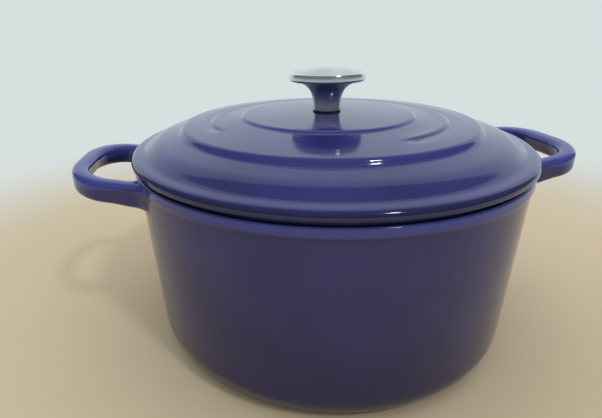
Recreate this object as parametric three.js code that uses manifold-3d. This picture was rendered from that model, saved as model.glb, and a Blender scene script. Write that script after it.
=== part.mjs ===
// Round enamelled cast-iron dutch oven with a lifting lid and a screwed-on steel knob.
// Millimetres, +Z up. The origin is on the table under the pot's axis, and the loop handles lie along X.
import * as THREE from 'three';
import { mergeVertices } from 'three/addons/utils/BufferGeometryUtils.js';
import Module from 'manifold-3d';

const wasm = await Module();
wasm.setup();
const { clamp, degToRad, lerp } = THREE.MathUtils;

// Driving dimensions of the pot
const POT_HEIGHT = 123.8;
const WALL_RADIUS_AT_TABLE = 121.1;
const WALL_DRAFT = degToRad(5.6);
const WALL_THICKNESS = 3.6;
const FLOOR_THICKNESS = 4.5;
const BASE_CORNER_RADIUS = 20.1;
const RIM_BAND_HEIGHT = 6;
const RIM_BAND_PROUD = 0.8;
const RIM_BAND_FILLET = 3;
const RIM_EDGE_ROUND = 1.4;

// Driving dimensions of the loop handles
const LOOP_LENGTH = 42.4;
const LOOP_ROOT_HALF_WIDTH = 44.3;
const LOOP_TAPER = degToRad(5);
const LOOP_CORNER_LENGTH = 23.8;
const LOOP_CORNER_SPREAD = 34;
const LOOP_BAR_WIDTH = 11;
const LOOP_BAR_HEIGHT = 14.4;
const LOOP_BAR_ROUND = 4;
const LOOP_BAR_DRAFT = 1.2;
const LOOP_RISE = degToRad(9);
const LOOP_BELOW_RIM = 9.5;
const LOOP_FLARE = 2;
const LOOP_FLARE_LENGTH = 14;
const LOOP_SPINE_POINTS = 48;
const LOOP_STEPS = 32;

// Driving dimensions of the lid
const LID_OVERHANG = 1.8;
const LID_HEIGHT = 28.8;
const LID_THICKNESS = 3.8;
const LIP_GAP = 3;
const LIP_ROUND = 1.7;
const ROLL_WIDTH = 3.7;
const ROLL_HEIGHT = 5.8;
const ROLL_FALL = 0.2;
const LEDGE_INSET = 6.9;
const LEDGE_FALL = 0.4;
const BROW_INSET = 21;
const BROW_HEIGHT = 7.7;
const BOSS_RADIUS = 11;
const DISC_RADIUS = 59.3;
const DISC_FALL = 1.1;
const DISC_STEP = 1.8;
const DISC_STEP_RUN = 2.4;
const RING_RADIUS = 80.5;
const RING_STEP = 1.4;
const RING_STEP_RUN = 1.8;
const PLATEAU_RADIUS = 101.1;
const PLATEAU_STEP = 4.5;
const PLATEAU_STEP_RUN = 3.6;
const LAND_FALL = 0.75;
const CREST_ROUND = 1.6;
const HOLLOW_INSET = 3;
const SEAT_INSET = 2.8;
const SKIRT_CLEARANCE = 2;
const SKIRT_WIDTH = 4;
const SKIRT_DEPTH = 3.4;
const SKIRT_CHAMFER = 0.8;
const BARE_SECTOR_CENTRE = degToRad(-114);
const BARE_SECTOR_HALF_ANGLE = degToRad(46);

// Driving dimensions of the knob and its fastener
const KNOB_RADIUS = 26.7;
const KNOB_HEIGHT = 29;
const KNOB_BASE_RADIUS = 9.5;
const KNOB_NECK_LEAN = 0.1;
const KNOB_NECK_SPREAD = 0.7;
const KNOB_RIM_HEIGHT = 5.9;
const KNOB_RIM_ROUND = 3.1;
const KNOB_EDGE_ROUND = 1.6;
const KNOB_CROWN = 2.7;
const GASKET_THICKNESS = 1.2;
const GASKET_PROUD = 0.2;
const SCREW_RADIUS = 2.45;
const SCREW_LENGTH = 21;
const SCREW_TIP_CHAMFER = 0.6;
const SCREW_HEAD_RADIUS = 4.7;
const SCREW_HEAD_HEIGHT = 3.2;
const SCREW_HEAD_EDGE = 1;
const SCREW_SLOT_WIDTH = 1.2;
const SCREW_SLOT_DEPTH = 1.5;
const THREAD_CLEARANCE = 0.1;
const THREAD_END_CLEARANCE = 1.5;
const SCREW_HOLE_CLEARANCE = 0.75;
const WASHER_CLEARANCE = 0.4;
const WASHER_RADIUS = 6.2;
const WASHER_THICKNESS = 1;
const LOCK_WASHER_RADIUS = 4.5;
const LOCK_WASHER_THICKNESS = 1.3;
const LOCK_WASHER_SPLIT = 1;

// Enamel coats
const LINING_THICKNESS = 0.5;
const LINING_BELOW_RIM = 3;
const BOND_GAP = 0.05;

// Facets of the turned shapes, and how far a cutting shape reaches past what it cuts
const LARGE_FACETS = 64;
const KNOB_FACETS = 36;
const SMALL_FACETS = 24;
const CURVE_STEPS = 3;
const CUT_MARGIN = 10;

// Keeps position alone, so that equal corners become one, and drops triangles that have no area.
function weldedTriangles(geometry) {
  const weldDistance = 1e-4;
  const bare = geometry.clone();
  bare.deleteAttribute('normal');
  bare.deleteAttribute('uv');
  const merged = mergeVertices(bare, weldDistance);
  const index = merged.index.array;
  const triangles = [];
  for (let i = 0; i < index.length; i += 3) {
    const [a, b, c] = [index[i], index[i + 1], index[i + 2]];
    if (a !== b && b !== c && c !== a) {
      triangles.push(a, b, c);
    }
  }
  return { position: merged.attributes.position.array, triangles };
}

// Six times the volume inside the triangles, negative when they face inwards.
function signedVolume({ position, triangles }) {
  const corner = (i) => new THREE.Vector3().fromArray(position, 3 * i);
  let sum = 0;
  for (let i = 0; i < triangles.length; i += 3) {
    const [a, b, c] = [corner(triangles[i]), corner(triangles[i + 1]), corner(triangles[i + 2])];
    sum += a.dot(b.cross(c));
  }
  return sum;
}

// Turns a closed three.js geometry into a solid that can be joined and cut.
function solid(geometry) {
  const mesh = weldedTriangles(geometry);
  if (signedVolume(mesh) < 0) {
    mesh.triangles.reverse();
  }
  return new wasm.Manifold(new wasm.Mesh({
    numProp: 3,
    vertProperties: new Float32Array(mesh.position),
    triVerts: new Uint32Array(mesh.triangles),
  }));
}

// Turns a solid back into a geometry with shading normals.
function geometryOf(shape) {
  const mesh = shape.getMesh();
  const geometry = new THREE.BufferGeometry();
  geometry.setAttribute('position', new THREE.BufferAttribute(mesh.vertProperties, 3));
  geometry.setIndex(new THREE.BufferAttribute(mesh.triVerts, 1));
  geometry.computeVertexNormals();
  return geometry;
}

// Turns an outline of radius and height about the Z axis.
function turned(outline, facets) {
  const geometry = new THREE.LatheGeometry(outline, facets);
  geometry.rotateX(Math.PI / 2);
  return solid(geometry);
}

// A flat ring with a square section, from one radius and height to another.
function ring(innerRadius, outerRadius, lowZ, highZ, facets) {
  const outline = [
    new THREE.Vector2(innerRadius, lowZ),
    new THREE.Vector2(outerRadius, lowZ),
    new THREE.Vector2(outerRadius, highZ),
    new THREE.Vector2(innerRadius, highZ),
    new THREE.Vector2(innerRadius, lowZ),
  ];
  return turned(outline, facets);
}

function part(name, shape, material) {
  const mesh = new THREE.Mesh(geometryOf(shape), material);
  mesh.name = name;
  return mesh;
}

function finish(color, roughness, metalness) {
  return new THREE.MeshStandardMaterial({ color, roughness, metalness });
}

const violetEnamel = () => finish(0x3a3884, 0.12, 0);
const creamEnamel = () => finish(0xe9e2d0, 0.2, 0);
const steel = () => finish(0xbfc1c4, 0.25, 1);
const blackRubber = () => finish(0x17171a, 0.7, 0);

// Pot

// The drafted wall's outside radius at a height.
const wallRadius = (z) => WALL_RADIUS_AT_TABLE + z * Math.tan(WALL_DRAFT);
const rimRadius = wallRadius(POT_HEIGHT) + RIM_BAND_PROUD;
const mouthRadius = wallRadius(POT_HEIGHT) - WALL_THICKNESS;

// Draws a floor, its rounded corner and the drafted wall, set in from the outside by a thickness.
function vesselOutline(floorZ, wallInset, cornerRadius, topZ) {
  const cornerZ = floorZ + cornerRadius;
  const cornerX = wallRadius(cornerZ) - wallInset - cornerRadius / Math.cos(WALL_DRAFT);
  const path = new THREE.Path();
  path.moveTo(0, floorZ);
  path.lineTo(cornerX, floorZ);
  path.absarc(cornerX, cornerZ, cornerRadius, -Math.PI / 2, -WALL_DRAFT, false);
  path.lineTo(wallRadius(topZ) - wallInset, topZ);
  return path;
}

function potBlank() {
  const bandLow = POT_HEIGHT - RIM_BAND_HEIGHT;
  const bandFace = bandLow + RIM_EDGE_ROUND;
  const bandMiddle = (wallRadius(bandLow) + rimRadius) / 2;
  const path = vesselOutline(0, 0, BASE_CORNER_RADIUS, bandLow - RIM_BAND_FILLET);
  path.quadraticCurveTo(wallRadius(bandLow), bandLow, bandMiddle, bandLow);
  path.quadraticCurveTo(rimRadius, bandLow, rimRadius, bandFace);
  path.lineTo(rimRadius, POT_HEIGHT - RIM_EDGE_ROUND);
  path.quadraticCurveTo(rimRadius, POT_HEIGHT, rimRadius - RIM_EDGE_ROUND, POT_HEIGHT);
  path.lineTo(0, POT_HEIGHT);
  return turned(path.getPoints(CURVE_STEPS), LARGE_FACETS);
}

function cavityOutline(inset, topZ) {
  return vesselOutline(
    FLOOR_THICKNESS + inset,
    WALL_THICKNESS + inset,
    BASE_CORNER_RADIUS - WALL_THICKNESS - inset,
    topZ,
  ).getPoints(CURVE_STEPS);
}

function potCavity() {
  const clearOfRim = POT_HEIGHT + CUT_MARGIN;
  const outline = cavityOutline(0, clearOfRim);
  outline.push(new THREE.Vector2(0, clearOfRim));
  return turned(outline, LARGE_FACETS);
}

// The handle's bar, with its height along x, downwards, and its width along y. It narrows downwards.
function barSection() {
  const topHalf = LOOP_BAR_WIDTH / 2;
  const lowHalf = topHalf - LOOP_BAR_DRAFT;
  const round = Math.min(LOOP_BAR_ROUND, lowHalf);
  const cornerX = LOOP_BAR_HEIGHT / 2 - round;
  const quarter = Math.PI / 2;
  const section = new THREE.Shape();
  section.absarc(cornerX, lowHalf - round, round, 0, quarter, false);
  section.absarc(-cornerX, topHalf - round, round, quarter, 2 * quarter, false);
  section.absarc(-cornerX, round - topHalf, round, 2 * quarter, 3 * quarter, false);
  section.absarc(cornerX, round - lowHalf, round, 3 * quarter, 4 * quarter, false);
  return section;
}

// The middle of the bar seen from above: two legs that lean together, and quarter ellipses to a straight tip.
function loopPlan(rootX) {
  const outerEdgeY = LOOP_ROOT_HALF_WIDTH + LOOP_BAR_WIDTH / 2;
  const legStartX = Math.sqrt(rootX ** 2 - outerEdgeY ** 2) - WALL_THICKNESS;
  const legStartY = LOOP_ROOT_HALF_WIDTH + (rootX - legStartX) * Math.tan(LOOP_TAPER);
  const tipX = rootX + LOOP_LENGTH - LOOP_BAR_WIDTH / 2;
  const arcX = tipX - LOOP_CORNER_LENGTH;
  const arcStart = Math.atan2(LOOP_CORNER_SPREAD, LOOP_CORNER_LENGTH * Math.tan(LOOP_TAPER));
  const legEndX = arcX + LOOP_CORNER_LENGTH * Math.cos(arcStart);
  const legEndY = LOOP_ROOT_HALF_WIDTH - (legEndX - rootX) * Math.tan(LOOP_TAPER);
  const arcY = legEndY - LOOP_CORNER_SPREAD * Math.sin(arcStart);
  const plan = new THREE.Path();
  plan.moveTo(legStartX, legStartY);
  plan.lineTo(legEndX, legEndY);
  plan.absellipse(arcX, arcY, LOOP_CORNER_LENGTH, LOOP_CORNER_SPREAD, arcStart, 0, true);
  plan.absellipse(arcX, -arcY, LOOP_CORNER_LENGTH, LOOP_CORNER_SPREAD, 0, -arcStart, true);
  plan.lineTo(legStartX, -legStartY);
  return plan;
}

// One loop handle on +X. The bar leaves the wall, turns two corners and comes back, and is deeper at the wall.
function loopHandle() {
  const rootZ = POT_HEIGHT - LOOP_BELOW_RIM;
  const rootX = wallRadius(rootZ);
  const planPoints = loopPlan(rootX).getSpacedPoints(LOOP_SPINE_POINTS);
  const spine = planPoints.map((point) => new THREE.Vector3(point.x, point.y, 0));
  const geometry = new THREE.ExtrudeGeometry(barSection(), {
    extrudePath: new THREE.CatmullRomCurve3(spine),
    steps: LOOP_STEPS,
    curveSegments: 1,
    bevelEnabled: false,
  });

  const position = geometry.attributes.position;
  for (let i = 0; i < position.count; i += 1) {
    const nearness = clamp(1 - (position.getX(i) - rootX) / LOOP_FLARE_LENGTH, 0, 1);
    const growth = (2 * LOOP_FLARE * nearness * nearness) / LOOP_BAR_HEIGHT;
    const z = position.getZ(i);
    position.setZ(i, z + Math.min(z, 0) * growth);
  }

  geometry.translate(-rootX, 0, 0);
  geometry.rotateY(-LOOP_RISE);
  geometry.translate(rootX, 0, rootZ);
  return geometry;
}

function potShape() {
  const right = loopHandle();
  const left = right.clone().rotateZ(Math.PI);
  return potBlank().add(solid(right)).add(solid(left)).subtract(potCavity());
}

function potLiningShape() {
  const topZ = POT_HEIGHT - LINING_BELOW_RIM;
  const outside = cavityOutline(BOND_GAP, topZ);
  const inside = cavityOutline(BOND_GAP + LINING_THICKNESS, topZ);
  return turned([...outside, ...inside.reverse()], LARGE_FACETS);
}

// Lid

const lidRadius = rimRadius + LID_OVERHANG;
const lipZ = POT_HEIGHT + LIP_GAP;
const shoulderRadius = lidRadius - ROLL_WIDTH;
const shoulderZ = lipZ + ROLL_HEIGHT;
const ledgeRadius = lidRadius - LEDGE_INSET;
const ledgeZ = shoulderZ + LEDGE_FALL;
const browRadius = lidRadius - BROW_INSET;
const browZ = shoulderZ + BROW_HEIGHT;
const bossZ = POT_HEIGHT + LID_HEIGHT;
const bossUndersideZ = bossZ - LID_THICKNESS;
const screwHoleRadius = SCREW_RADIUS + SCREW_HOLE_CLEARANCE;
const skirtRadius = mouthRadius - SKIRT_CLEARANCE;
const skirtInnerRadius = skirtRadius - SKIRT_WIDTH;

// The lid's three steps from the middle out, each with its crest, its drop and the width of its slope.
const discZ = bossZ - DISC_FALL;
const ringZ = discZ - DISC_STEP - LAND_FALL;
const plateauZ = ringZ - RING_STEP - LAND_FALL;
const discStep = { radius: DISC_RADIUS, z: discZ, drop: DISC_STEP, run: DISC_STEP_RUN };
const ringStep = { radius: RING_RADIUS, z: ringZ, drop: RING_STEP, run: RING_STEP_RUN };
const plateauStep = { radius: PLATEAU_RADIUS, z: plateauZ, drop: PLATEAU_STEP, run: PLATEAU_STEP_RUN };
const lidSteps = [discStep, ringStep, plateauStep];

// Goes over a step: a rounded crest, then down and out into the foot.
function stepDown(path, { radius, z, drop, run }) {
  path.lineTo(radius - CREST_ROUND, z);
  path.quadraticCurveTo(radius, z, radius + run / 3, z - drop / 2);
  path.quadraticCurveTo(radius + (2 * run) / 3, z - drop, radius + run, z - drop);
}

// Runs out from the foot of the last step: a gentle slope to a brow, then a steep S-curve down to a ledge.
function shoulderTo(path, brow, ledge) {
  const [browEase, ledgeEase] = [0.58, 0.28];
  const foot = path.currentPoint.clone();
  const browReach = browEase * (ledge.x - brow.x);
  const browFall = browReach * (foot.y - brow.y) / (brow.x - foot.x);
  const ledgeReach = ledgeEase * (ledge.x - brow.x);
  const ledgeRise = ledgeReach * LEDGE_FALL / (LEDGE_INSET - ROLL_WIDTH);
  path.lineTo(brow.x, brow.y);
  path.bezierCurveTo(
    brow.x + browReach, brow.y - browFall,
    ledge.x - ledgeReach, ledge.y + ledgeRise,
    ledge.x, ledge.y,
  );
}

// The lid's upper face from the screw hole out to the rolled lip.
function lidTop(path) {
  const rollFullness = 0.57;
  path.moveTo(screwHoleRadius, bossZ);
  path.lineTo(BOSS_RADIUS, bossZ);
  lidSteps.forEach((step) => stepDown(path, step));
  shoulderTo(path, new THREE.Vector2(browRadius, browZ), new THREE.Vector2(ledgeRadius, ledgeZ));
  path.lineTo(shoulderRadius, shoulderZ);
  path.bezierCurveTo(
    lerp(shoulderRadius, lidRadius, rollFullness), shoulderZ - ROLL_FALL,
    lidRadius, lerp(lipZ + LIP_ROUND, shoulderZ, rollFullness),
    lidRadius, lipZ + LIP_ROUND,
  );
  path.quadraticCurveTo(lidRadius, lipZ, lidRadius - LIP_ROUND, lipZ);
}

// The lid's lower face from the lip in to the screw hole: seat, locating skirt, then the hollow.
function lidUnderside(path) {
  const skirtLow = POT_HEIGHT - SKIRT_DEPTH;
  path.lineTo(rimRadius - SEAT_INSET, POT_HEIGHT);
  path.lineTo(skirtRadius + SKIRT_CHAMFER, POT_HEIGHT);
  path.lineTo(skirtRadius, POT_HEIGHT - SKIRT_CHAMFER);
  path.lineTo(skirtRadius, skirtLow + SKIRT_CHAMFER);
  path.lineTo(skirtRadius - SKIRT_CHAMFER, skirtLow);
  path.lineTo(skirtInnerRadius + SKIRT_CHAMFER, skirtLow);
  path.lineTo(skirtInnerRadius, skirtLow + SKIRT_CHAMFER);
  for (const corner of lidHollow(0).reverse()) {
    path.lineTo(corner.x, corner.y);
  }
}

// The hollow's face from the screw hole out to the skirt, lowered by a thickness.
function lidHollow(drop) {
  const path = new THREE.Path();
  const seatZ = bossUndersideZ - drop;
  path.moveTo(screwHoleRadius, seatZ);
  path.lineTo(BOSS_RADIUS, seatZ);
  for (const step of lidSteps) {
    const undersideZ = step.z - LID_THICKNESS - drop;
    path.lineTo(step.radius - HOLLOW_INSET, undersideZ);
    path.lineTo(step.radius, undersideZ - step.drop);
  }
  const brow = new THREE.Vector2(browRadius - HOLLOW_INSET, browZ - LID_THICKNESS - drop);
  const skirtFoot = new THREE.Vector2(skirtInnerRadius - SKIRT_CHAMFER, shoulderZ - LID_THICKNESS - drop);
  shoulderTo(path, brow, skirtFoot);
  return path.getPoints(CURVE_STEPS);
}

// A ring on the straight slope from the foot of the disc to the plateau's edge, in the bare sector alone.
function bareField(below, above) {
  const inner = new THREE.Vector2(discStep.radius + discStep.run, discStep.z - discStep.drop);
  const outer = new THREE.Vector2(plateauStep.radius - CREST_ROUND, plateauStep.z);
  const outline = [
    new THREE.Vector2(inner.x, inner.y - below),
    new THREE.Vector2(outer.x, outer.y - below),
    new THREE.Vector2(outer.x, outer.y + above),
    new THREE.Vector2(inner.x, inner.y + above),
    new THREE.Vector2(inner.x, inner.y - below),
  ];

  const sector = new THREE.Shape();
  const startAngle = BARE_SECTOR_CENTRE - BARE_SECTOR_HALF_ANGLE;
  const endAngle = BARE_SECTOR_CENTRE + BARE_SECTOR_HALF_ANGLE;
  sector.absarc(0, 0, lidRadius, startAngle, endAngle, false);
  sector.lineTo(0, 0);
  const wedge = new THREE.ExtrudeGeometry(sector, { depth: 2 * LID_HEIGHT, bevelEnabled: false });
  wedge.translate(0, 0, POT_HEIGHT);
  return turned(outline, LARGE_FACETS).intersect(solid(wedge));
}

// The ring's step stops at the bare sector, which is cut down and filled up to one plain slope.
function lidShape() {
  const path = new THREE.Path();
  lidTop(path);
  lidUnderside(path);
  path.lineTo(screwHoleRadius, bossZ);
  const stepped = turned(path.getPoints(CURVE_STEPS), LARGE_FACETS);
  return stepped.subtract(bareField(0, RING_STEP)).add(bareField(RING_STEP, 0));
}

function lidLiningShape() {
  const upper = lidHollow(BOND_GAP);
  const lower = lidHollow(BOND_GAP + LINING_THICKNESS);
  return turned([...upper, ...lower.reverse(), upper[0].clone()], LARGE_FACETS);
}

// Knob and its fastener

const knobBaseZ = bossZ + GASKET_THICKNESS;
const washerTopZ = bossUndersideZ - BOND_GAP - LINING_THICKNESS;
const washerLowZ = washerTopZ - WASHER_THICKNESS;
const headTopZ = washerLowZ - LOCK_WASHER_THICKNESS;
const washerBoreRadius = SCREW_RADIUS + WASHER_CLEARANCE;
const screwTipZ = headTopZ + SCREW_LENGTH;

function knobGasketShape() {
  return ring(screwHoleRadius, KNOB_BASE_RADIUS + GASKET_PROUD, bossZ, knobBaseZ, KNOB_FACETS);
}

// Mushroom knob: a neck that spreads into a rounded rim, a slightly crowned top and a blind hole below.
function knobShape() {
  const [neckLow, neckHigh, crownFullness] = [0.45, 0.9, 0.6];
  const holeRadius = SCREW_RADIUS + THREAD_CLEARANCE;
  const holeEndZ = screwTipZ + THREAD_END_CLEARANCE;
  const topZ = knobBaseZ + KNOB_HEIGHT;
  const rimHighZ = topZ - KNOB_CROWN;
  const rimLowZ = rimHighZ - KNOB_RIM_HEIGHT;
  const path = new THREE.Path();
  path.moveTo(0, holeEndZ);
  path.lineTo(holeRadius, screwTipZ);
  path.lineTo(holeRadius, knobBaseZ);
  path.lineTo(KNOB_BASE_RADIUS, knobBaseZ);
  path.bezierCurveTo(
    KNOB_BASE_RADIUS + KNOB_NECK_LEAN, lerp(knobBaseZ, rimLowZ, neckLow),
    KNOB_BASE_RADIUS + KNOB_NECK_SPREAD, lerp(knobBaseZ, rimLowZ, neckHigh),
    KNOB_RADIUS - KNOB_RIM_ROUND, rimLowZ,
  );
  path.quadraticCurveTo(KNOB_RADIUS, rimLowZ, KNOB_RADIUS, rimLowZ + KNOB_RIM_ROUND);
  path.quadraticCurveTo(KNOB_RADIUS, rimHighZ, KNOB_RADIUS - KNOB_EDGE_ROUND, rimHighZ);
  path.quadraticCurveTo(KNOB_RADIUS * crownFullness, topZ, 0, topZ);
  return turned(path.getPoints(CURVE_STEPS + 1), KNOB_FACETS);
}

// Pan-head machine screw, head down, with a straight slot across the head.
function knobScrewShape() {
  const headFlat = 0.55;
  const headLowZ = headTopZ - SCREW_HEAD_HEIGHT;
  const path = new THREE.Path();
  path.moveTo(0, headLowZ);
  path.lineTo(SCREW_HEAD_RADIUS * headFlat, headLowZ);
  path.quadraticCurveTo(SCREW_HEAD_RADIUS, headLowZ, SCREW_HEAD_RADIUS, headTopZ - SCREW_HEAD_EDGE);
  path.lineTo(SCREW_HEAD_RADIUS, headTopZ);
  path.lineTo(SCREW_RADIUS, headTopZ);
  path.lineTo(SCREW_RADIUS, screwTipZ - SCREW_TIP_CHAMFER);
  path.lineTo(SCREW_RADIUS - SCREW_TIP_CHAMFER, screwTipZ);
  path.lineTo(0, screwTipZ);
  const blank = turned(path.getPoints(CURVE_STEPS), SMALL_FACETS);

  const slotLength = 2 * (SCREW_HEAD_RADIUS + CUT_MARGIN);
  const slot = new THREE.BoxGeometry(slotLength, SCREW_SLOT_WIDTH, 2 * SCREW_SLOT_DEPTH);
  slot.translate(0, 0, headLowZ);
  return blank.subtract(solid(slot));
}

function flatWasherShape() {
  return ring(washerBoreRadius, WASHER_RADIUS, washerLowZ, washerTopZ, SMALL_FACETS);
}

// A spring washer pressed flat, with its split on +X.
function lockWasherShape() {
  const blank = ring(washerBoreRadius, LOCK_WASHER_RADIUS, headTopZ, washerLowZ, SMALL_FACETS);
  const splitHeight = 2 * (LOCK_WASHER_THICKNESS + CUT_MARGIN);
  const split = new THREE.BoxGeometry(2 * LOCK_WASHER_RADIUS, LOCK_WASHER_SPLIT, splitHeight);
  split.translate(LOCK_WASHER_RADIUS, 0, headTopZ);
  return blank.subtract(solid(split));
}

const dutchOven = new THREE.Group();
dutchOven.add(part('pot', potShape(), violetEnamel()));
dutchOven.add(part('pot_lining', potLiningShape(), creamEnamel()));

const lidGroup = new THREE.Group();
lidGroup.add(part('lid', lidShape(), violetEnamel()));
lidGroup.add(part('lid_lining', lidLiningShape(), creamEnamel()));
lidGroup.add(part('knob_gasket', knobGasketShape(), blackRubber()));
lidGroup.add(part('knob', knobShape(), steel()));
lidGroup.add(part('knob_screw', knobScrewShape(), steel()));
lidGroup.add(part('flat_washer', flatWasherShape(), steel()));
lidGroup.add(part('lock_washer', lockWasherShape(), steel()));
dutchOven.add(lidGroup);

export default dutchOven;
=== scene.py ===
"""Round enamelled cast-iron dutch oven: a pot with two loop handles, a stepped lid and a steel knob.

Metres, +Z up. The origin is on the table under the pot's axis, and the loop handles lie along X.
"""

import bmesh
import bpy
import numpy as np
from mathutils import Matrix, Vector


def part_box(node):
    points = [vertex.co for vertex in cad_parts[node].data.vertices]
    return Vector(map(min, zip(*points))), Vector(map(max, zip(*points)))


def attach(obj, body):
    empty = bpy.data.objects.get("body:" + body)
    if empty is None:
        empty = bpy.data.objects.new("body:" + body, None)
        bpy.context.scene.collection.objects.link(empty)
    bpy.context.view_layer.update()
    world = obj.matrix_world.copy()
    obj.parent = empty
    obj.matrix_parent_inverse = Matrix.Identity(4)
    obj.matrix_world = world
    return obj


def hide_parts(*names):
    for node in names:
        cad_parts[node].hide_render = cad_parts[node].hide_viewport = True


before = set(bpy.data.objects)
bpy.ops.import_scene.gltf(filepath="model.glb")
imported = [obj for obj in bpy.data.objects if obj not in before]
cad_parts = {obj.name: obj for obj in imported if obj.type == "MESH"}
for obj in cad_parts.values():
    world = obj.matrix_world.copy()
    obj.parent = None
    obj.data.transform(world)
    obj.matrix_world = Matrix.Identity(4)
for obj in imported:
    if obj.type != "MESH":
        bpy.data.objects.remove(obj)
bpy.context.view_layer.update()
scene = bpy.context.scene
scene.view_settings.view_transform = "Standard"


# Camera
# It stands where the photograph was taken from, a little left of the pot's middle, and looks slightly down.
# The photograph is cropped off-centre, so the lens is shifted until its axis meets the same pixel.
PHOTO_WIDTH = 602
PHOTO_HEIGHT = 418
AXIS_PIXEL_X = 272.96
AXIS_PIXEL_Y = 151.74
FOCAL_LENGTH_IN_PIXELS = 460
CAMERA_DISTANCE = 0.32484
CAMERA_HEIGHT = 0.21233
CAMERA_ROUND = 0.2139
CAMERA_HEADING = 0.0939
CAMERA_PITCH = 0.2694
CAMERA_ROLL = 0.0231
CAMERA_CLIP_START = 0.01

camera_data = bpy.data.cameras.new("camera")
camera_data.lens = FOCAL_LENGTH_IN_PIXELS / PHOTO_WIDTH * camera_data.sensor_width
camera_data.shift_x = (PHOTO_WIDTH / 2 - AXIS_PIXEL_X) / PHOTO_WIDTH
camera_data.shift_y = (AXIS_PIXEL_Y - PHOTO_HEIGHT / 2) / PHOTO_WIDTH
camera_data.clip_start = CAMERA_CLIP_START
camera = bpy.data.objects.new("camera", camera_data)
camera_place = (
    -CAMERA_DISTANCE * np.sin(CAMERA_ROUND),
    -CAMERA_DISTANCE * np.cos(CAMERA_ROUND),
    CAMERA_HEIGHT,
)
camera.matrix_world = (
    Matrix.Translation(camera_place)
    @ Matrix.Rotation(-CAMERA_HEADING, 4, "Z")
    @ Matrix.Rotation(np.pi / 2 - CAMERA_PITCH, 4, "X")
    @ Matrix.Rotation(-CAMERA_ROLL, 4, "Z")
)
scene.collection.objects.link(camera)
scene.camera = camera


# Studio
# A warm pale floor that fades into a pale backdrop, a soft sun at the front right and light from overhead.
# Polished surfaces mirror a wide pale panel behind the object, and a dim room with a paler ceiling.
class Wire:
    """A socket of a node tree. Arithmetic on wires adds Math nodes, and node() adds any other node."""

    def __init__(self, tree, socket=None):
        self.tree = tree
        self.socket = socket

    def node(self, kind, settings=None, sockets=None, output=0):
        """Adds a node: its settings are set first, then each input gets a value or a link."""
        made = self.tree.nodes.new(kind)
        for setting, value in (settings or {}).items():
            setattr(made, setting, value)
        for name, value in (sockets or {}).items():
            if isinstance(value, Wire):
                self.tree.links.new(value.socket, made.inputs[name])
            else:
                made.inputs[name].default_value = value
        return Wire(self.tree, made.outputs[output] if made.outputs else None)

    def __getitem__(self, output):
        return Wire(self.tree, self.socket.node.outputs[output])

    def math(self, operation, first, second):
        return self.node("ShaderNodeMath", {"operation": operation}, {0: first, 1: second})

    def __add__(self, other):
        return self.math("ADD", self, other)

    def __sub__(self, other):
        return self.math("SUBTRACT", self, other)

    def __rsub__(self, other):
        return self.math("SUBTRACT", other, self)

    def __mul__(self, other):
        return self.math("MULTIPLY", self, other)

    def __pow__(self, other):
        return self.math("POWER", self, other)

    __radd__ = __add__
    __rmul__ = __mul__

    def over(self, other):
        """The larger of two values."""
        return self.math("MAXIMUM", self, other)

    def rise(self, low, high):
        """0 up to low, 1 from high on, and a smooth S-curve between them."""
        limits = {"Value": self, "From Min": low, "From Max": high}
        return self.node("ShaderNodeMapRange", {"interpolation_type": "SMOOTHSTEP"}, limits)

    def blend(self, colour, other):
        """One colour where this wire is 0 and the other where it is 1."""
        return self.node("ShaderNodeMix", {"data_type": "RGBA"}, {0: self, 6: colour, 7: other}, output=2)


BACKDROP_COLOUR = (0.68, 0.74, 0.74, 1)
PANEL_COLOUR = (0.82, 0.90, 0.96, 1)
PANEL_DIRECTION = (0.153, 0.922, 0.355)
PANEL_EDGE = 0.52
PANEL_INSIDE = 0.60
ROOM_COLOUR = (0.13, 0.125, 0.13, 1)
CEILING_COLOUR = (0.28, 0.28, 0.30, 1)
OVERHEAD_LIGHT_COLOUR = (0.93, 0.96, 1, 1)
OVERHEAD_LIGHT_LOW = 0.06
OVERHEAD_LIGHT_RISE = 1.2
SUN_DIRECTION = Vector((0.345, -0.573, 0.743))
SUN_STRENGTH = 0.5
SUN_ANGLE = np.radians(6)
FLOOR_SIZE = 12
FLOOR_COLOUR = (0.69, 0.575, 0.395, 1)
FLOOR_SHADE = (0.65, 0.54, 0.36, 1)
FLOOR_FADE_START = 0.28
FLOOR_FADE_END = 0.62
FLOOR_DROP = 0.0003
FLOOR_CLOUDS_PER_METRE = 3
FLOOR_CLOUD_START = 0.3
FLOOR_CLOUD_FULL = 0.7

scene.world = bpy.data.worlds.new("studio")
scene.world.use_nodes = True
scene.world.node_tree.nodes.clear()
sky = Wire(scene.world.node_tree)
direction = sky.node("ShaderNodeTexCoord")
height = sky.node("ShaderNodeSeparateXYZ", {}, {"Vector": direction})["Z"]
facing = sky.node(
    "ShaderNodeVectorMath", {"operation": "DOT_PRODUCT"}, {0: direction, 1: PANEL_DIRECTION}
)["Value"]
room_colour = height.rise(0, 1).blend(ROOM_COLOUR, CEILING_COLOUR)
mirrored_colour = facing.rise(PANEL_EDGE, PANEL_INSIDE).blend(room_colour, PANEL_COLOUR)
overhead_strength = OVERHEAD_LIGHT_LOW + OVERHEAD_LIGHT_RISE * height.over(0)
ray = sky.node("ShaderNodeLightPath")
mirrored = sky.node("ShaderNodeMixShader", {}, {
    0: ray["Is Glossy Ray"].over(ray["Is Transmission Ray"]),
    1: sky.node("ShaderNodeBackground", {}, {"Color": OVERHEAD_LIGHT_COLOUR, "Strength": overhead_strength}),
    2: sky.node("ShaderNodeBackground", {}, {"Color": mirrored_colour}),
})
surroundings = sky.node("ShaderNodeMixShader", {}, {
    0: ray["Is Camera Ray"],
    1: mirrored,
    2: sky.node("ShaderNodeBackground", {}, {"Color": BACKDROP_COLOUR}),
})
sky.node("ShaderNodeOutputWorld", {}, {"Surface": surroundings})

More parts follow.
